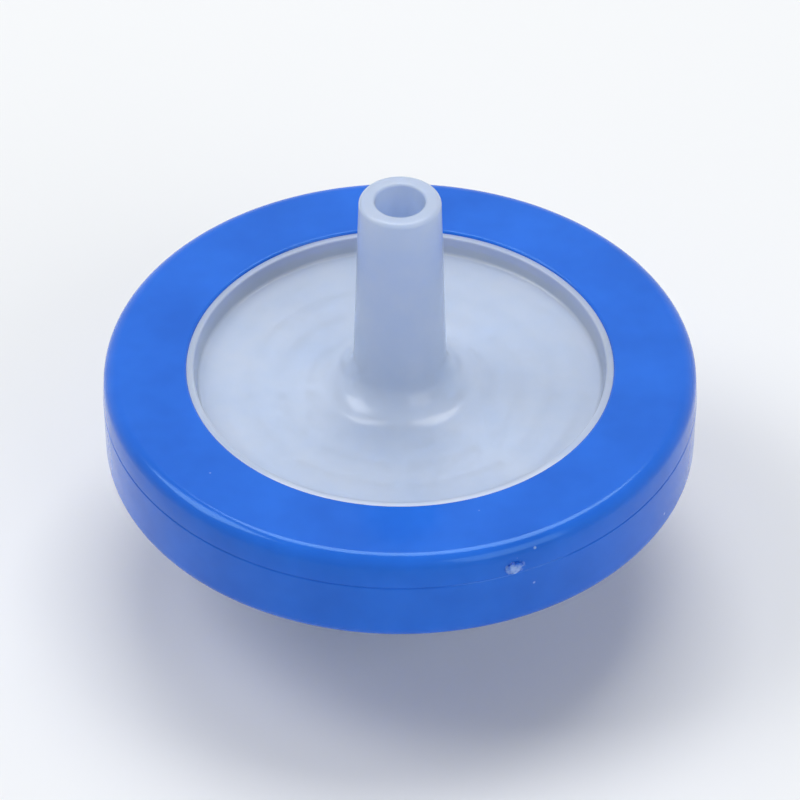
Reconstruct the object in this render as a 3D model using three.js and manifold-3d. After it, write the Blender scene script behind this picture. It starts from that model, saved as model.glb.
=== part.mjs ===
// Syringe filter, 25 mm class, with a female luer lock inlet and a male luer slip outlet.
// Two moulded housing halves clamp a round membrane, and a ring moulded over their rims seals them.
// Millimetres, +Z up. The origin is the centre of the inlet port's end face, on which it stands.

import * as THREE from 'three';
import { mergeVertices } from 'three/addons/utils/BufferGeometryUtils.js';
import Module from 'manifold-3d';

const wasm = await Module();
wasm.setup();

// Resolution of turned shapes
const TURN_SEGMENTS = 48;
const FILLET_STEPS = 3;

// Whole filter
const TOTAL_HEIGHT = 23.2;
const MID_PLANE = 10;

// Overmoulded ring
const RING_RADIUS = 15;
const RING_HEIGHT = 5.2;
const RING_DRAFT = 0.08;
const RING_EDGE_FILLET = 0.7;
const LIP_EDGE_FILLET = 0.15;
const LIP_THICKNESS = 0.8;
const PARTING_SHARE = 1 / 3;

// Rims of the two housing halves
const RIM_RADIUS = 13.4;
const OUTLET_WINDOW_RADIUS = 10.8;
const INLET_WINDOW_RADIUS = 10.2;
const OUTLET_RECESS = 1;
const INLET_RECESS = 0.7;
const BEAD_WIDTH = 0.4;
const BEAD_SLOPE = 0.2;
const BEAD_SETBACK = 0.2;
const OUTLET_PLATE = 1;
const INLET_PLATE = 1.2;
const CHAMBER_RADIUS = 10.6;
const SPIGOT_RADIUS = 12.6;
const SPIGOT_HEIGHT = 0.4;

// Membrane
const MEMBRANE_RADIUS = 12.5;
const MEMBRANE_THICKNESS = 0.2;

// Outlet nozzle, a 6 percent taper on the diameter
const TAPER_PER_MM = 0.03;
const NOZZLE_TIP_RADIUS = 2.05;
const NOZZLE_TIP_FILLET = 0.25;
const NOZZLE_BORE_RADIUS = 1.25;
const NOZZLE_BORE_DRAFT = 0.15;
const NOZZLE_BASE_FILLET = 1.8;
const OUTLET_THROAT_FILLET = 0.5;

// Support ribs under the membrane's outlet side, and the channels across them
const RIB_WIDTH = 0.6;
const RIB_PITCH = 1.6;
const RIB_COUNT = 5;
const FIRST_RIB_RADIUS = 2.6;
const CHANNEL_COUNT = 8;
const CHANNEL_WIDTH = 0.8;

// Inlet port, a socket with the same taper and two ears
const PORT_MOUTH_RADIUS = 3;
const PORT_ROOT_RADIUS = 3.1;
const PORT_BASE_FILLET = 1;
const SOCKET_RADIUS = 2.15;
const SOCKET_DEPTH = 7.8;
const SOCKET_MOUTH_CHAMFER = 0.15;
const INLET_HOLE_RADIUS = 1;
const EAR_RADIUS = 3.9;
const EAR_WIDTH = 3.6;
const EAR_LAND = 1.2;
const EAR_HEIGHT = 2.6;
const EAR_CHAMFER = 0.2;

// Vanes that spread the liquid over the membrane's inlet side
const VANE_COUNT = 12;
const VANE_INNER_RADIUS = 3.2;
const VANE_OUTER_RADIUS = 9.8;
const VANE_WIDTH = 0.6;
const VANE_CLEARANCE = 0.15;

// How far a rib or an ear is sunk into the wall that it grows from
const ROOT_OVERLAP = 0.2;

const OUTLET_FACE = MID_PLANE + RING_HEIGHT / 2;
const INLET_FACE = MID_PLANE - RING_HEIGHT / 2;
const MEMBRANE_TOP = MID_PLANE + MEMBRANE_THICKNESS / 2;
const MEMBRANE_BOTTOM = MID_PLANE - MEMBRANE_THICKNESS / 2;
const SPIGOT_TOP = MEMBRANE_BOTTOM + SPIGOT_HEIGHT;

const BLUE_PLASTIC = { color: 0x2f6be0, roughness: 0.3, metalness: 0 };
const NATURAL_PLASTIC = { color: 0xdde3ee, roughness: 0.45, metalness: 0 };
const WHITE_MEMBRANE = { color: 0xf2f3f5, roughness: 0.9, metalness: 0 };

// Turns corners, each [radius, height, fillet], into a closed outline with its fillets as arcs.
function outline(corners) {
  const points = [];
  corners.forEach(([x, y, fillet = 0], index) => {
    const corner = new THREE.Vector2(x, y);
    if (fillet === 0) {
      points.push(corner);
      return;
    }
    const before = corners[(index + corners.length - 1) % corners.length];
    const after = corners[(index + 1) % corners.length];
    const back = new THREE.Vector2(before[0], before[1]).sub(corner).normalize();
    const ahead = new THREE.Vector2(after[0], after[1]).sub(corner).normalize();
    const half = Math.acos(back.dot(ahead)) / 2;
    const inward = back.clone().add(ahead).normalize();
    const centre = corner.clone().addScaledVector(inward, fillet / Math.sin(half));
    const start = corner.clone().addScaledVector(back, fillet / Math.tan(half));
    const sweep = Math.sign(ahead.cross(back)) * (Math.PI - 2 * half);
    for (let step = 0; step <= FILLET_STEPS; step++) {
      points.push(start.clone().rotateAround(centre, (sweep * step) / FILLET_STEPS));
    }
  });
  points.push(points[0].clone());
  return points;
}

// A body of revolution about Z from closed outline corners.
function turned(corners) {
  const geometry = new THREE.LatheGeometry(outline(corners), TURN_SEGMENTS);
  geometry.rotateX(Math.PI / 2);
  return solidFrom(geometry);
}

// A block that lies along X from one radius to another, turned about Z.
function radialBlock(fromRadius, toRadius, width, bottom, top, angle) {
  const geometry = new THREE.BoxGeometry(toRadius - fromRadius, width, top - bottom);
  geometry.translate((fromRadius + toRadius) / 2, 0, (bottom + top) / 2);
  geometry.rotateZ(angle);
  return solidFrom(geometry);
}

function solidFrom(geometry) {
  geometry.deleteAttribute('normal');
  geometry.deleteAttribute('uv');
  const merged = mergeVertices(geometry);
  const mesh = new wasm.Mesh({
    numProp: 3,
    vertProperties: new Float32Array(merged.attributes.position.array),
    triVerts: new Uint32Array(merged.index.array),
  });
  return new wasm.Manifold(mesh);
}

function geometryFrom(solid) {
  const mesh = solid.getMesh();
  const geometry = new THREE.BufferGeometry();
  geometry.setAttribute('position', new THREE.BufferAttribute(mesh.vertProperties, 3));
  geometry.setIndex(new THREE.BufferAttribute(mesh.triVerts, 1));
  geometry.computeVertexNormals();
  return geometry;
}

function piece(name, solid, finish) {
  const mesh = new THREE.Mesh(geometryFrom(solid), new THREE.MeshStandardMaterial(finish));
  mesh.name = name;
  return mesh;
}

function evenAngles(count) {
  return Array.from({ length: count }, (_, index) => (index * 2 * Math.PI) / count);
}

// The ring wraps both rims in a C section. Its outer wall is widest at the mould's parting line.
function overmouldRing() {
  const partingHeight = OUTLET_FACE - RING_HEIGHT * PARTING_SHARE;
  return turned([
    [OUTLET_WINDOW_RADIUS, OUTLET_FACE - LIP_THICKNESS],
    [RIM_RADIUS, OUTLET_FACE - LIP_THICKNESS],
    [RIM_RADIUS, INLET_FACE + LIP_THICKNESS],
    [INLET_WINDOW_RADIUS, INLET_FACE + LIP_THICKNESS],
    [INLET_WINDOW_RADIUS, INLET_FACE, LIP_EDGE_FILLET],
    [RING_RADIUS - RING_DRAFT, INLET_FACE, RING_EDGE_FILLET],
    [RING_RADIUS, partingHeight],
    [RING_RADIUS - RING_DRAFT, OUTLET_FACE, RING_EDGE_FILLET],
    [OUTLET_WINDOW_RADIUS, OUTLET_FACE, LIP_EDGE_FILLET],
  ]);
}

function membrane() {
  return turned([
    [0, MEMBRANE_BOTTOM],
    [MEMBRANE_RADIUS, MEMBRANE_BOTTOM],
    [MEMBRANE_RADIUS, MEMBRANE_TOP],
    [0, MEMBRANE_TOP],
  ]);
}

// Plate, rim and nozzle of the outlet half. A low bead round the window meets the ring's lip.
function outletShell() {
  const window = OUTLET_FACE - OUTLET_RECESS;
  const ceiling = window - OUTLET_PLATE;
  const beadTop = OUTLET_FACE - BEAD_SETBACK;
  const beadInner = OUTLET_WINDOW_RADIUS - BEAD_WIDTH;
  const nozzleRoot = NOZZLE_TIP_RADIUS + TAPER_PER_MM * (TOTAL_HEIGHT - window);
  return turned([
    [NOZZLE_BORE_RADIUS + NOZZLE_BORE_DRAFT, ceiling, OUTLET_THROAT_FILLET],
    [CHAMBER_RADIUS, ceiling],
    [CHAMBER_RADIUS, MEMBRANE_TOP],
    [SPIGOT_RADIUS, MEMBRANE_TOP],
    [SPIGOT_RADIUS, SPIGOT_TOP],
    [RIM_RADIUS, SPIGOT_TOP],
    [RIM_RADIUS, OUTLET_FACE - LIP_THICKNESS],
    [OUTLET_WINDOW_RADIUS, OUTLET_FACE - LIP_THICKNESS],
    [OUTLET_WINDOW_RADIUS, beadTop],
    [beadInner, beadTop],
    [beadInner - BEAD_SLOPE, window],
    [nozzleRoot, window, NOZZLE_BASE_FILLET],
    [NOZZLE_TIP_RADIUS, TOTAL_HEIGHT, NOZZLE_TIP_FILLET],
    [NOZZLE_BORE_RADIUS, TOTAL_HEIGHT],
  ]);
}

// Round ribs that carry the membrane, cut through by radial channels that lead to the bore.
function supportRibs() {
  const ceiling = OUTLET_FACE - OUTLET_RECESS - OUTLET_PLATE;
  let ribs = null;
  for (let index = 0; index < RIB_COUNT; index++) {
    const inner = FIRST_RIB_RADIUS + index * RIB_PITCH;
    const rib = turned([
      [inner, MEMBRANE_TOP],
      [inner + RIB_WIDTH, MEMBRANE_TOP],
      [inner + RIB_WIDTH, ceiling + ROOT_OVERLAP],
      [inner, ceiling + ROOT_OVERLAP],
    ]);
    ribs = ribs ? ribs.add(rib) : rib;
  }
  for (const angle of evenAngles(CHANNEL_COUNT)) {
    const bottom = MEMBRANE_TOP - ROOT_OVERLAP;
    const top = ceiling + 2 * ROOT_OVERLAP;
    ribs = ribs.subtract(radialBlock(0, CHAMBER_RADIUS, CHANNEL_WIDTH, bottom, top, angle));
  }
  return ribs;
}

function outletHousing() {
  return outletShell().add(supportRibs());
}

// Plate, rim and socket of the inlet half, with the spigot that centres the membrane.
function inletShell() {
  const window = INLET_FACE + INLET_RECESS;
  const floor = window + INLET_PLATE;
  const beadBottom = INLET_FACE + BEAD_SETBACK;
  const beadInner = INLET_WINDOW_RADIUS - BEAD_WIDTH;
  const socketEnd = SOCKET_RADIUS - TAPER_PER_MM * SOCKET_DEPTH;
  return turned([
    [SOCKET_RADIUS + SOCKET_MOUTH_CHAMFER, 0],
    [PORT_MOUTH_RADIUS, 0],
    [PORT_ROOT_RADIUS, window, PORT_BASE_FILLET],
    [beadInner - BEAD_SLOPE, window],
    [beadInner, beadBottom],
    [INLET_WINDOW_RADIUS, beadBottom],
    [INLET_WINDOW_RADIUS, INLET_FACE + LIP_THICKNESS],
    [RIM_RADIUS, INLET_FACE + LIP_THICKNESS],
    [RIM_RADIUS, SPIGOT_TOP],
    [SPIGOT_RADIUS, SPIGOT_TOP],
    [SPIGOT_RADIUS, MEMBRANE_BOTTOM],
    [CHAMBER_RADIUS, MEMBRANE_BOTTOM],
    [CHAMBER_RADIUS, floor],
    [INLET_HOLE_RADIUS, floor],
    [INLET_HOLE_RADIUS, SOCKET_DEPTH],
    [socketEnd, SOCKET_DEPTH],
    [SOCKET_RADIUS, SOCKET_MOUTH_CHAMFER],
  ]);
}

// Two ears at the socket's mouth, ramped on the side away from the mouth.
function lockEars() {
  const collar = turned([
    [PORT_MOUTH_RADIUS - ROOT_OVERLAP, 0],
    [EAR_RADIUS - EAR_CHAMFER, 0],
    [EAR_RADIUS, EAR_CHAMFER],
    [EAR_RADIUS, EAR_LAND],
    [PORT_MOUTH_RADIUS, EAR_HEIGHT],
    [PORT_MOUTH_RADIUS - ROOT_OVERLAP, EAR_HEIGHT],
  ]);
  const top = EAR_HEIGHT + ROOT_OVERLAP;
  return collar.intersect(radialBlock(-EAR_RADIUS, EAR_RADIUS, EAR_WIDTH, -ROOT_OVERLAP, top, 0));
}

function spreaderVanes() {
  const floor = INLET_FACE + INLET_RECESS + INLET_PLATE;
  const top = MEMBRANE_BOTTOM - VANE_CLEARANCE;
  return evenAngles(VANE_COUNT).map((angle) =>
    radialBlock(VANE_INNER_RADIUS, VANE_OUTER_RADIUS, VANE_WIDTH, floor - ROOT_OVERLAP, top, angle));
}

function inletHousing() {
  return spreaderVanes().reduce((body, vane) => body.add(vane), inletShell().add(lockEars()));
}

const filter = new THREE.Group();
filter.add(piece('inlet_housing', inletHousing(), NATURAL_PLASTIC));
filter.add(piece('membrane', membrane(), WHITE_MEMBRANE));
filter.add(piece('outlet_housing', outletHousing(), NATURAL_PLASTIC));
filter.add(piece('overmould_ring', overmouldRing(), BLUE_PLASTIC));

export default filter;
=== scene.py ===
from math import atan2, cos, hypot, pi, radians, sin

import bmesh
import bpy
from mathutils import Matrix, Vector


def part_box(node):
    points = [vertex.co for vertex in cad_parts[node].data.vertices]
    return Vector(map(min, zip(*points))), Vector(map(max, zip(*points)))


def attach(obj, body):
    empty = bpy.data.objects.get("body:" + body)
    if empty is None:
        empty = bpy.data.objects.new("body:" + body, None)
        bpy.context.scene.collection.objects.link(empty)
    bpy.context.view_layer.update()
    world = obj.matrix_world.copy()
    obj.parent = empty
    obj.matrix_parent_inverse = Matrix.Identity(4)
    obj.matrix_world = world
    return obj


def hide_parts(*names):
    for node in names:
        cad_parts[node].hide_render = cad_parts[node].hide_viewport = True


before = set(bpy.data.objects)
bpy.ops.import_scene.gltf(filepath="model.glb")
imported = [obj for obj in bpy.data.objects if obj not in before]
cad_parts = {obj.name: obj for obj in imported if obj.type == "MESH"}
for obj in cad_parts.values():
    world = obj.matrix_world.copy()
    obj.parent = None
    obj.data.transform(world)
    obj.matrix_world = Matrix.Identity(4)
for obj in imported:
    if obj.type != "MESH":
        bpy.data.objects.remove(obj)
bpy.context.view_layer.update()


# Overmoulded ring: one shot of blue polypropylene round the rims of both housing halves. Its lips
# clamp and seal them for good. A witness line runs round it where the mould parted, and the stub
# of a torn-off gate is left in its wall.

MM = 0.001
SAME_PLACE = 0.0001 * MM
NEAR_MM = 0.001
TURN_STEPS = 240
LEAST_ROUND_STEPS = 4
ROUND_STEPS_PER_MM = 6
SMOOTH_BELOW = radians(28)


def draw_section(name, corners):
    """Draws a closed section on the XZ plane from corners in mm, each (radius, height, rounding)."""
    bpy.ops.object.select_all(action="DESELECT")
    bpy.ops.mesh.primitive_plane_add(size=MM, location=(0, 0, 0))
    piece = bpy.context.object
    piece.name = name
    bpy.ops.object.mode_set(mode="EDIT")
    bpy.ops.mesh.select_mode(type="VERT")
    bpy.ops.mesh.merge(type="CENTER")
    bpy.ops.transform.translate(value=(corners[0][0] * MM, 0, corners[0][1] * MM))
    for before, after in zip(corners, corners[1:]):
        step = ((after[0] - before[0]) * MM, 0, (after[1] - before[1]) * MM)
        bpy.ops.mesh.extrude_vertices_move(TRANSFORM_OT_translate={"value": step})
    bpy.ops.mesh.select_all(action="SELECT")
    bpy.ops.mesh.edge_face_add()
    for radius, height, rounding in corners:
        if rounding:
            round_corner(piece, radius, height, rounding)
    return piece


def pick(piece, kind, wanted):
    """Selects only the verts, edges or faces whose corners, a list of points in mm, pass the test."""
    bpy.ops.mesh.select_mode(type=kind)
    bpy.ops.mesh.select_all(action="DESELECT")
    mesh = bmesh.from_edit_mesh(piece.data)
    for part in {"VERT": mesh.verts, "EDGE": mesh.edges, "FACE": mesh.faces}[kind]:
        corners = [part] if kind == "VERT" else part.verts
        if wanted([corner.co / MM for corner in corners]):
            part.select = True
    bmesh.update_edit_mesh(piece.data)


def round_corner(piece, radius, height, rounding):
    """Rounds the section's corner at this radius and height, from this far along both its edges."""
    pick(piece, "VERT", lambda at: hypot(at[0].x - radius, at[0].z - height) < NEAR_MM)
    steps = LEAST_ROUND_STEPS + round(ROUND_STEPS_PER_MM * rounding)
    bpy.ops.mesh.bevel(offset=rounding * MM, segments=steps, affect="VERTICES", clamp_overlap=False)


def turn_section():
    """Spins the section in hand once round Z and closes the seam, with the normals outwards."""
    bpy.ops.mesh.select_all(action="SELECT")
    bpy.ops.mesh.delete(type="ONLY_FACE")
    bpy.ops.mesh.select_all(action="SELECT")
    bpy.ops.mesh.spin(steps=TURN_STEPS, angle=2 * pi, center=(0, 0, 0), axis=(0, 0, 1))
    bpy.ops.mesh.select_all(action="SELECT")
    bpy.ops.mesh.remove_doubles(threshold=SAME_PLACE)
    bpy.ops.mesh.normals_make_consistent(inside=False)


def merge_pieces(piece, others):
    """Fuses other closed pieces into this one and removes them."""
    for other in others:
        fusing = piece.modifiers.new("fusing", "BOOLEAN")
        fusing.operation = "UNION"
        fusing.solver = "MANIFOLD"
        fusing.object = other
        bpy.context.view_layer.objects.active = piece
        bpy.ops.object.modifier_apply(modifier="fusing")
        bpy.data.objects.remove(other)


def smooth_piece(piece):
    """Smooth shading that keeps flat faces flat beside their rounded edges."""
    bpy.ops.object.select_all(action="DESELECT")
    piece.select_set(True)
    bpy.context.view_layer.objects.active = piece
    bpy.ops.object.shade_smooth_by_angle(angle=SMOOTH_BELOW)
    weighting = piece.modifiers.new("weighting", "WEIGHTED_NORMAL")
    weighting.keep_sharp = True
    bpy.ops.object.modifier_apply(modifier="weighting")


ring_low, ring_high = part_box("overmould_ring")
ring_radius = ring_high.x / MM
ring_top = ring_high.z / MM
ring_bottom = ring_low.z / MM
ring_draft = 0.08
lip_thickness = 0.8
lip_round = 0.15
shoulder_round = 0.7
rim_radius = 13.4
outlet_window = 10.8
inlet_window = 10.2
bond = 0.03
witness_height = ring_top - (ring_top - ring_bottom) / 3
witness_depth = 0.05
witness_half_width = 0.06
witness_round = 0.02

ring = draw_section("overmould_ring_blue", [
    (outlet_window - bond, ring_top - lip_thickness - bond, 0),
    (rim_radius - bond, ring_top - lip_thickness - bond, 0),
    (rim_radius - bond, ring_bottom + lip_thickness + bond, 0),
    (inlet_window - bond, ring_bottom + lip_thickness + bond, 0),
    (inlet_window - bond, ring_bottom, lip_round),
    (ring_radius - ring_draft, ring_bottom, shoulder_round),
    (ring_radius, witness_height - witness_half_width, witness_round),
    (ring_radius - witness_depth, witness_height, 0),
    (ring_radius, witness_height + witness_half_width, witness_round),
    (ring_radius - ring_draft, ring_top, shoulder_round),
    (outlet_window - bond, ring_top, lip_round),
])
turn_section()
bpy.ops.object.mode_set(mode="OBJECT")

gate_angle = radians(-68)
gate_rise = 0.40
gate_height = witness_height + gate_rise
gate_half_size = (0.15, 0.50, 0.34)
gate_tear = 0.06
tear_seed = 4
gate_place = Vector((ring_radius * cos(gate_angle), ring_radius * sin(gate_angle), gate_height))
bpy.ops.object.select_all(action="DESELECT")
bpy.ops.mesh.primitive_ico_sphere_add(
    subdivisions=3, radius=MM, location=gate_place * MM, rotation=(0, 0, gate_angle),
    scale=gate_half_size)
gate = bpy.context.object
bpy.ops.object.transform_apply(location=True, rotation=True, scale=True)
bpy.ops.object.mode_set(mode="EDIT")
bpy.ops.mesh.select_all(action="SELECT")
bpy.ops.transform.vertex_random(offset=gate_tear * MM, seed=tear_seed)
bpy.ops.object.mode_set(mode="OBJECT")
merge_pieces(ring, [gate])
smooth_piece(ring)

polypropylene_ior = 1.49
highlight_tint = (0.45, 0.80, 1.0)
blue = bpy.data.materials.new("blue_polypropylene")
blue.use_nodes = True
tree = blue.node_tree
surface = tree.nodes["Principled BSDF"]
surface.inputs["IOR"].default_value = polypropylene_ior
surface.inputs["Specular IOR Level"].default_value = 0.5
surface.inputs["Specular Tint"].default_value = (*highlight_tint, 1)
surface.inputs["Subsurface Weight"].default_value = 0.12
surface.inputs["Subsurface Radius"].default_value = (0.2, 0.4, 1.0)
surface.inputs["Subsurface Scale"].default_value = 0.6 * MM


def in_mm(tree):
    """The place on the piece, with one unit of the pattern to each millimetre."""
    place = tree.nodes.new("ShaderNodeTexCoord")
    sizing = tree.nodes.new("ShaderNodeMapping")
    sizing.inputs["Scale"].default_value = (1 / MM, 1 / MM, 1 / MM)
    tree.links.new(place.outputs["Object"], sizing.inputs["Vector"])
    return sizing.outputs["Vector"]


def cloud(tree, vector, per_mm, detail=3):
    """Soft noise with this many lumps to a millimetre."""
    noise = tree.nodes.new("ShaderNodeTexNoise")
    noise.inputs["Scale"].default_value = per_mm
    noise.inputs["Detail"].default_value = detail
    noise.inputs["Roughness"].default_value = 0.55
    tree.links.new(vector, noise.inputs["Vector"])
    return noise.outputs["Fac"]


def spread(tree, value, low, high, from_low=0.3, from_high=0.7):
    """Maps a value, by default the middle of a noise, onto the range from low to high."""
    ranging = tree.nodes.new("ShaderNodeMapRange")
    ranging.inputs["From Min"].default_value = from_low
    ranging.inputs["From Max"].default_value = from_high
    ranging.inputs["To Min"].default_value = low
    ranging.inputs["To Max"].default_value = high
    tree.links.new(value, ranging.inputs["Value"])
    return ranging.outputs["Result"]


def blend_colours(tree, share, first, second):
    """Goes from the first colour to the second by share. Each is a colour or a socket."""
    mix = tree.nodes.new("ShaderNodeMix")
    mix.data_type = "RGBA"
    tree.links.new(share, mix.inputs["Factor"])
    for socket, colour in (("A", first), ("B", second)):
        target = [plug for plug in mix.inputs if plug.name == socket and plug.type == "RGBA"][0]
        if isinstance(colour, tuple):
            target.default_value = (*colour, 1)
        else:
            tree.links.new(colour, target)
    return [plug for plug in mix.outputs if plug.type == "RGBA"][0]


def raise_surface(tree, height, depth_mm, strength, under=None):
    """A bump of this depth. It lies on the bump named under, if there is one."""
    bump = tree.nodes.new("ShaderNodeBump")
    bump.inputs["Strength"].default_value = strength
    bump.inputs["Distance"].default_value = depth_mm * MM
    tree.links.new(height, bump.inputs["Height"])
    if under:
        tree.links.new(under, bump.inputs["Normal"])
    return bump.outputs["Normal"]


deep_blue = (0.004, 0.107, 0.61)
bright_blue = (0.010, 0.142, 0.735)
speck_blue = (0.28, 0.42, 0.82)
torn_blue = (0.34, 0.48, 0.85)
speck_cells_per_mm = 0.75
speck_core = 0.035
speck_edge = 0.075
bare_below = 0.90
specked_above = 0.91
torn_whitening = 0.85
torn_core = 0.62
torn_edge = 0.90
torn_raggedness = 0.9

place = in_mm(tree)
flow = spread(tree, cloud(tree, place, per_mm=0.22), low=0, high=1)
flow_colour = blend_colours(tree, flow, deep_blue, bright_blue)
specks = tree.nodes.new("ShaderNodeTexVoronoi")
specks.inputs["Scale"].default_value = speck_cells_per_mm
tree.links.new(place, specks.inputs["Vector"])
speck_shape = spread(
    tree, specks.outputs["Distance"], low=1, high=0, from_low=speck_core, from_high=speck_edge)
cell_draw = tree.nodes.new("ShaderNodeSeparateColor")
tree.links.new(specks.outputs["Color"], cell_draw.inputs["Color"])
cell_chosen = spread(
    tree, cell_draw.outputs["Red"], low=0, high=1, from_low=bare_below, from_high=specked_above)
speck_share = tree.nodes.new("ShaderNodeMath")
speck_share.operation = "MULTIPLY"
tree.links.new(speck_shape, speck_share.inputs[0])
tree.links.new(cell_chosen, speck_share.inputs[1])
specked_colour = blend_colours(tree, speck_share.outputs[0], flow_colour, speck_blue)
from_gate = tree.nodes.new("ShaderNodeVectorMath")
from_gate.operation = "DISTANCE"
from_gate.inputs[1].default_value = gate_place
tree.links.new(place, from_gate.inputs[0])
ragged = tree.nodes.new("ShaderNodeMath")
ragged.operation = "MULTIPLY_ADD"
tree.links.new(cloud(tree, place, per_mm=3.2), ragged.inputs[0])
ragged.inputs[1].default_value = torn_raggedness
tree.links.new(from_gate.outputs["Value"], ragged.inputs[2])
torn = spread(
    tree, ragged.outputs[0], low=torn_whitening, high=0, from_low=torn_core, from_high=torn_edge)
ring_colour = blend_colours(tree, torn, specked_colour, torn_blue)
tree.links.new(ring_colour, surface.inputs["Base Color"])
gloss = spread(tree, cloud(tree, place, per_mm=1.1), low=0.11, high=0.19)
tree.links.new(gloss, surface.inputs["Roughness"])
peel = raise_surface(tree, cloud(tree, place, per_mm=1.6, detail=2), depth_mm=0.02, strength=0.25)
grain = raise_surface(
    tree, cloud(tree, place, per_mm=14, detail=2), depth_mm=0.003, strength=0.3, under=peel)
tree.links.new(grain, surface.inputs["Normal"])
ring.data.materials.clear()
ring.data.materials.append(blue)
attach(ring, "root")
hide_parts("overmould_ring")


# Membrane: a round of thin white microporous film, punched from sheet. The outlet half's ribs
# back it, and its edge is clamped between the two rims when the ring is moulded.

clearance = 0.01
membrane_low, membrane_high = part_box("membrane")
membrane_radius = membrane_high.x / MM
membrane_top = membrane_high.z / MM - clearance
membrane_bottom = membrane_low.z / MM + clearance
free_radius = 10.4
clamped_radius = 10.7
squeeze = 0.01

membrane = draw_section("membrane_disc", [
    (0, membrane_bottom, 0),
    (free_radius, membrane_bottom, 0),
    (clamped_radius, membrane_bottom + squeeze, 0),
    (membrane_radius, membrane_bottom + squeeze, 0),
    (membrane_radius, membrane_top - squeeze, 0),
    (clamped_radius, membrane_top - squeeze, 0),
    (free_radius, membrane_top, 0),
    (0, membrane_top, 0),
])
turn_section()
bpy.ops.mesh.select_all(action="SELECT")
bpy.ops.mesh.dissolve_degenerate(threshold=SAME_PLACE)
bpy.ops.mesh.delete_loose()
bpy.ops.object.mode_set(mode="OBJECT")
smooth_piece(membrane)

white = bpy.data.materials.new("white_membrane")
white.use_nodes = True
tree = white.node_tree
surface = tree.nodes["Principled BSDF"]
surface.inputs["Specular IOR Level"].default_value = 0.2
surface.inputs["Roughness"].default_value = 0.85
film_shade = (0.86, 0.92, 1.0)
film_white = (0.92, 0.955, 1.0)
place = in_mm(tree)
mottle = spread(tree, cloud(tree, place, per_mm=0.9, detail=4), low=0, high=1)
tree.links.new(blend_colours(tree, mottle, film_shade, film_white), surface.inputs["Base Color"])
pores = raise_surface(tree, cloud(tree, place, per_mm=22), depth_mm=0.004, strength=0.6)
tree.links.new(pores, surface.inputs["Normal"])
membrane.data.materials.clear()
membrane.data.materials.append(white)
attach(membrane, "root")
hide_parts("membrane")


# Outlet half: natural polypropylene, moulded in one piece with the tapered slip nozzle. Round
# ribs, cut by channels, hold the membrane off its plate, and a low bead edges the window.

nozzle_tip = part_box("outlet_housing")[1].z / MM
outlet_recess = 1.0
outlet_thickness = 1.0
outlet_plate = ring_top - outlet_recess
outlet_ceiling = outlet_plate - outlet_thickness
seat = membrane_high.z / MM
pocket_radius = 12.6
pocket_height = 0.2
chamber_radius = 10.6
inner_round = 0.1
bead_below = 0.08
bead_top = ring_top - bead_below
bead_slope = 0.055
bead_crest_in = 0.24
bead_width = 0.4
bead_flank = 0.2
bead_crest_round = 0.06
bead_round = 0.12
bead_foot_round = 0.15
bead_inner = outlet_window - bead_width
nozzle_tip_radius = 2.05
luer_taper = 0.03
nozzle_root = nozzle_tip_radius + luer_taper * (nozzle_tip - outlet_plate)
nozzle_root_round = 1.8
nozzle_tip_round = 0.25
bore_radius = 1.25
bore_taper = 0.15
bore_round = 0.15
bore_entry_round = 0.5
rib_count = 5
rib_width = 0.6
rib_pitch = 1.6
first_rib = 2.6
rib_radii = [first_rib + rib_pitch * count for count in range(rib_count)]
rib_gap = 0.02
rib_height = outlet_ceiling - seat - rib_gap
channel_count = 8
channel_width = 0.8

rib_corners = []
for radius in rib_radii:
    rib_corners += [(radius, outlet_ceiling, 0), (radius + rib_width, outlet_ceiling, 0)]

outlet = draw_section("outlet_housing_natural", [
    (bore_radius + bore_taper, outlet_ceiling, bore_entry_round),
    *rib_corners,
    (chamber_radius, outlet_ceiling, inner_round),
    (chamber_radius, seat, 0),
    (pocket_radius, seat, 0),
    (pocket_radius, seat + pocket_height + clearance, 0),
    (rim_radius, seat + pocket_height + clearance, 0),
    (rim_radius, ring_top - lip_thickness, 0),
    (outlet_window, ring_top - lip_thickness, 0),
    (outlet_window, bead_top - bead_slope, 0),
    (outlet_window - bead_crest_in, bead_top, bead_crest_round),
    (bead_inner, bead_top, bead_round),
    (bead_inner - bead_flank, outlet_plate, bead_foot_round),
    (nozzle_root, outlet_plate, nozzle_root_round),
    (nozzle_tip_radius, nozzle_tip, nozzle_tip_round),
    (bore_radius, nozzle_tip, bore_round),
])
turn_section()


def on_rib(corners):
    """Whether a face lies in the ceiling, on a rib and clear of the channels."""
    middle = sum(corners, Vector()) / len(corners)
    radius = hypot(middle.x, middle.y)
    if any(abs(corner.z - outlet_ceiling) > NEAR_MM for corner in corners):
        return False
    if not any(inner < radius < inner + rib_width for inner in rib_radii):
        return False
    sector = 2 * pi / channel_count
    off_channel = abs((atan2(middle.y, middle.x) + sector / 2) % sector - sector / 2)
    return radius * sin(off_channel) > channel_width / 2


pick(outlet, "FACE", on_rib)
bpy.ops.mesh.extrude_region_move(TRANSFORM_OT_translate={"value": (0, 0, -rib_height * MM)})
bpy.ops.object.mode_set(mode="OBJECT")
smooth_piece(outlet)

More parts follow.
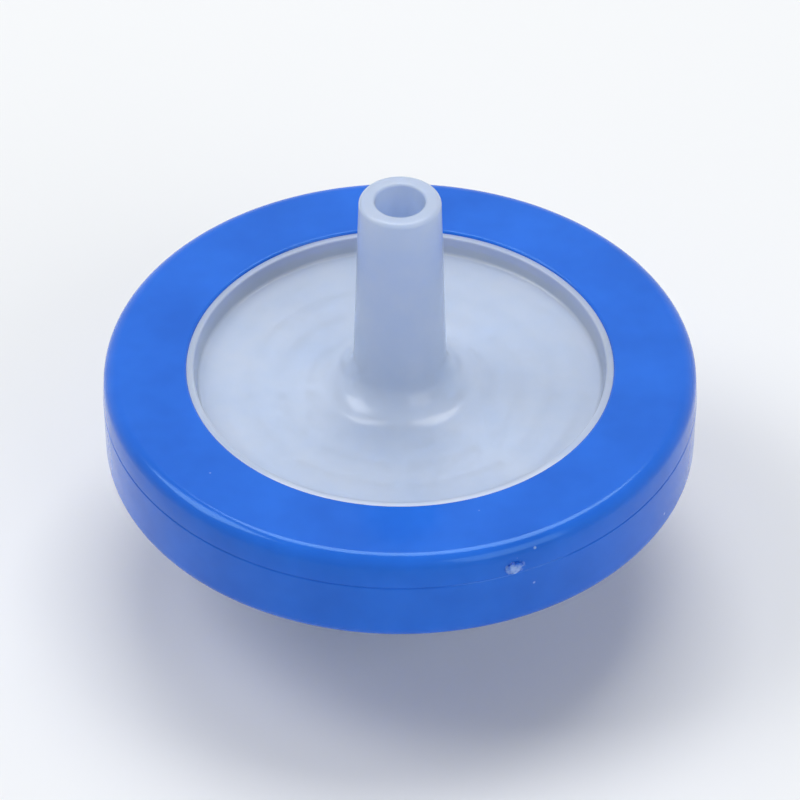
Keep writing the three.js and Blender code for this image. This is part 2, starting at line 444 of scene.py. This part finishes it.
natural = bpy.data.materials.new("natural_polypropylene")
natural.use_nodes = True
tree = natural.node_tree
surface = tree.nodes["Principled BSDF"]
surface.inputs["IOR"].default_value = polypropylene_ior
surface.inputs["Transmission Weight"].default_value = 0.50
surface.inputs["Coat Weight"].default_value = 0.6
surface.inputs["Coat Roughness"].default_value = 0.12
haze_shade = (0.665, 0.79, 1.0)
haze_light = (0.745, 0.84, 1.0)
place = in_mm(tree)
haze = spread(tree, cloud(tree, place, per_mm=0.35), low=0, high=1)
tree.links.new(blend_colours(tree, haze, haze_shade, haze_light), surface.inputs["Base Color"])
frost = spread(tree, cloud(tree, place, per_mm=1.3), low=0.42, high=0.48)
tree.links.new(frost, surface.inputs["Roughness"])
ripple = raise_surface(tree, cloud(tree, place, per_mm=0.9, detail=2), depth_mm=0.02, strength=0.2)
satin = raise_surface(
    tree, cloud(tree, place, per_mm=16, detail=2), depth_mm=0.003, strength=0.3, under=ripple)
tree.links.new(satin, surface.inputs["Normal"])
outlet.data.materials.clear()
outlet.data.materials.append(natural)
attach(outlet, "root")
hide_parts("outlet_housing")


# Inlet half: the same natural polypropylene, with the tapered socket that a syringe locks into.
# Two ramped ears stand at its mouth, and vanes on its plate spread the liquid over the membrane.

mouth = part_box("inlet_housing")[0].z / MM
inlet_recess = 0.7
inlet_thickness = 1.2
inlet_plate = ring_bottom + inlet_recess
inlet_floor = inlet_plate + inlet_thickness
inlet_seat = membrane_low.z / MM
inlet_bead = ring_bottom + bead_below
inlet_bead_inner = inlet_window - bead_width
port_radius = 3.0
port_mouth_round = 0.12
port_root = 3.1
port_root_round = 1.0
socket_radius = 2.15
socket_depth = 7.8
socket_end = mouth + socket_depth
socket_lead_in = 0.15
hole_radius = 1.0

inlet = draw_section("inlet_housing_natural", [
    (socket_radius + socket_lead_in, mouth, 0),
    (port_radius, mouth, port_mouth_round),
    (port_root, inlet_plate, port_root_round),
    (inlet_bead_inner - bead_flank, inlet_plate, bead_foot_round),
    (inlet_bead_inner, inlet_bead, bead_round),
    (inlet_window - bead_crest_in, inlet_bead, bead_crest_round),
    (inlet_window, inlet_bead + bead_slope, 0),
    (inlet_window, ring_bottom + lip_thickness, 0),
    (rim_radius, ring_bottom + lip_thickness, 0),
    (rim_radius, seat + pocket_height - clearance, 0),
    (pocket_radius + clearance, seat + pocket_height - clearance, 0),
    (pocket_radius + clearance, inlet_seat, 0),
    (chamber_radius, inlet_seat, 0),
    (chamber_radius, inlet_floor, inner_round),
    (hole_radius, inlet_floor, inner_round),
    (hole_radius, socket_end, 0),
    (socket_radius - luer_taper * socket_depth, socket_end, inner_round),
    (socket_radius, mouth + socket_lead_in, 0),
])
turn_section()
bpy.ops.object.mode_set(mode="OBJECT")

ear_root = 2.3
ear_side = 1.8
ear_shoulder = 3.42
ear_nose = 4.22
ear_shoulder_round = 0.4
ear_nose_round = 1.45
ear_land = 1.2
ear_height = 2.7
ear_ramp = 1.0
ear_inset = 0.02
ear_end = mouth + ear_inset
ear_end_round = 0.2
ear_land_round = 0.3
ears = draw_section("ears", [
    (ear_root, -ear_side, 0),
    (ear_shoulder, -ear_side, ear_shoulder_round),
    (ear_nose, 0, ear_nose_round),
    (ear_shoulder, ear_side, ear_shoulder_round),
    (ear_root, ear_side, 0),
])
bpy.ops.mesh.select_all(action="SELECT")
bpy.ops.transform.rotate(value=pi / 2, orient_axis="X", center_override=(0, 0, 0))
bpy.ops.transform.translate(value=(0, 0, ear_end * MM))
for rise in (ear_land, ear_height - ear_land):
    bpy.ops.mesh.extrude_region_move(TRANSFORM_OT_translate={"value": (0, 0, rise * MM)})
ear_top = ear_end + ear_height
pick(ears, "VERT", lambda at: at[0].z > ear_top - NEAR_MM and at[0].x > ear_root + NEAR_MM)
bpy.ops.transform.translate(value=(-ear_ramp * MM, 0, 0))
for height, rounding in ((0, ear_end_round), (ear_land, ear_land_round)):
    pick(ears, "EDGE", lambda at: all(abs(end.z - ear_end - height) < NEAR_MM for end in at)
         and any(end.x > ear_root + NEAR_MM for end in at))
    bpy.ops.mesh.bevel(offset=rounding * MM, segments=4, affect="EDGES")
bpy.ops.mesh.select_all(action="SELECT")
bpy.ops.mesh.normals_make_consistent(inside=False)
bpy.ops.mesh.duplicate()
bpy.ops.transform.rotate(value=pi, orient_axis="Z", center_override=(0, 0, 0))
bpy.ops.object.mode_set(mode="OBJECT")

vane_inner = 3.2
vane_outer = 9.8
vane_width = 0.6
vane_count = 12
vane_gap = 0.15
vane_sunk = 0.2
vane_round = 0.06
vane_top = inlet_seat - vane_gap
vane_root = inlet_floor - vane_sunk
bpy.ops.object.select_all(action="DESELECT")
bpy.ops.mesh.primitive_cube_add(
    size=1, location=((vane_inner + vane_outer) / 2 * MM, 0, (vane_top + vane_root) / 2 * MM),
    scale=((vane_outer - vane_inner) * MM, vane_width * MM, (vane_top - vane_root) * MM))
vanes = bpy.context.object
vanes.name = "vanes"
bpy.ops.object.transform_apply(location=True, rotation=True, scale=True)
bpy.ops.object.mode_set(mode="EDIT")
bpy.ops.mesh.select_all(action="SELECT")
bpy.ops.mesh.bevel(offset=vane_round * MM, segments=2, affect="EDGES")
bpy.ops.mesh.select_all(action="SELECT")
bpy.ops.mesh.spin(
    steps=vane_count - 1, dupli=True, angle=2 * pi * (vane_count - 1) / vane_count,
    center=(0, 0, 0), axis=(0, 0, 1))
bpy.ops.object.mode_set(mode="OBJECT")

merge_pieces(inlet, [ears, vanes])
smooth_piece(inlet)
inlet.data.materials.clear()
inlet.data.materials.append(natural)
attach(inlet, "root")
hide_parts("inlet_housing")


# Floor, lights and camera: a plain pale table, three soft lamps and an even white surround, with
# a long lens that looks down at the filter as it stands on its inlet port.

table_width = 2000
table_gap = 0.02
table_grey = (0.87, 0.88, 0.89)
bpy.ops.object.select_all(action="DESELECT")
bpy.ops.mesh.primitive_plane_add(size=table_width * MM, location=(0, 0, -table_gap * MM))
table = bpy.context.object
table.name = "table"
table_finish = bpy.data.materials.new("pale_table")
table_finish.use_nodes = True
surface = table_finish.node_tree.nodes["Principled BSDF"]
surface.inputs["Base Color"].default_value = (*table_grey, 1)
surface.inputs["Roughness"].default_value = 0.6
surface.inputs["Specular IOR Level"].default_value = 0.2
table.data.materials.append(table_finish)

aim_height = 10.2
aim = Vector((0, 0, aim_height * MM))


def hang_lamp(name, azimuth, elevation, distance, width, height, share):
    """A soft lamp that faces the filter and gives this share of full light on a face turned to it."""
    across, up = radians(azimuth), radians(elevation)
    away = Vector((sin(across) * cos(up), -cos(across) * cos(up), sin(up)))
    lamp = bpy.data.lights.new(name, "AREA")
    lamp.shape = "RECTANGLE"
    lamp.size = width * MM
    lamp.size_y = height * MM
    lamp.energy = share * (pi * distance * MM) ** 2
    holder = bpy.data.objects.new(name, lamp)
    bpy.context.scene.collection.objects.link(holder)
    holder.location = aim + away * (distance * MM)
    holder.rotation_euler = (-away).to_track_quat("-Z", "Y").to_euler()


hang_lamp("key_lamp", azimuth=-95, elevation=50, distance=600, width=300, height=300, share=0.31)
hang_lamp("fill_lamp", azimuth=40, elevation=28, distance=700, width=450, height=450, share=0.24)
hang_lamp("top_lamp", azimuth=168, elevation=68, distance=600, width=400, height=300, share=0.48)

surround_white = (0.96, 0.98, 1.0)
lit_strength = 0.36
seen_strength = 1.0
surround = bpy.data.worlds.new("surround")
bpy.context.scene.world = surround
surround.use_nodes = True
tree = surround.node_tree
background = tree.nodes["Background"]
background.inputs["Color"].default_value = (*surround_white, 1)
ray = tree.nodes.new("ShaderNodeLightPath")
seen = ray.outputs["Is Camera Ray"]
for kind in ("Is Glossy Ray", "Is Transmission Ray"):
    either = tree.nodes.new("ShaderNodeMath")
    either.operation = "MAXIMUM"
    tree.links.new(seen, either.inputs[0])
    tree.links.new(ray.outputs[kind], either.inputs[1])
    seen = either.outputs[0]
bright = tree.nodes.new("ShaderNodeMapRange")
bright.inputs["To Min"].default_value = lit_strength
bright.inputs["To Max"].default_value = seen_strength
tree.links.new(seen, bright.inputs["Value"])
tree.links.new(bright.outputs["Result"], background.inputs["Strength"])

lens = bpy.data.cameras.new("camera")
lens.lens = 320
lens.sensor_width = 36
lens.clip_start = 10 * MM
camera = bpy.data.objects.new("camera", lens)
bpy.context.scene.collection.objects.link(camera)
view_elevation = radians(40.6)
view_distance = 360
view_from = Vector((0, -cos(view_elevation), sin(view_elevation)))
camera.location = aim + view_from * (view_distance * MM)
camera.rotation_euler = (-view_from).to_track_quat("-Z", "Y").to_euler()
bpy.context.scene.camera = camera
bpy.context.scene.view_settings.view_transform = "Standard"
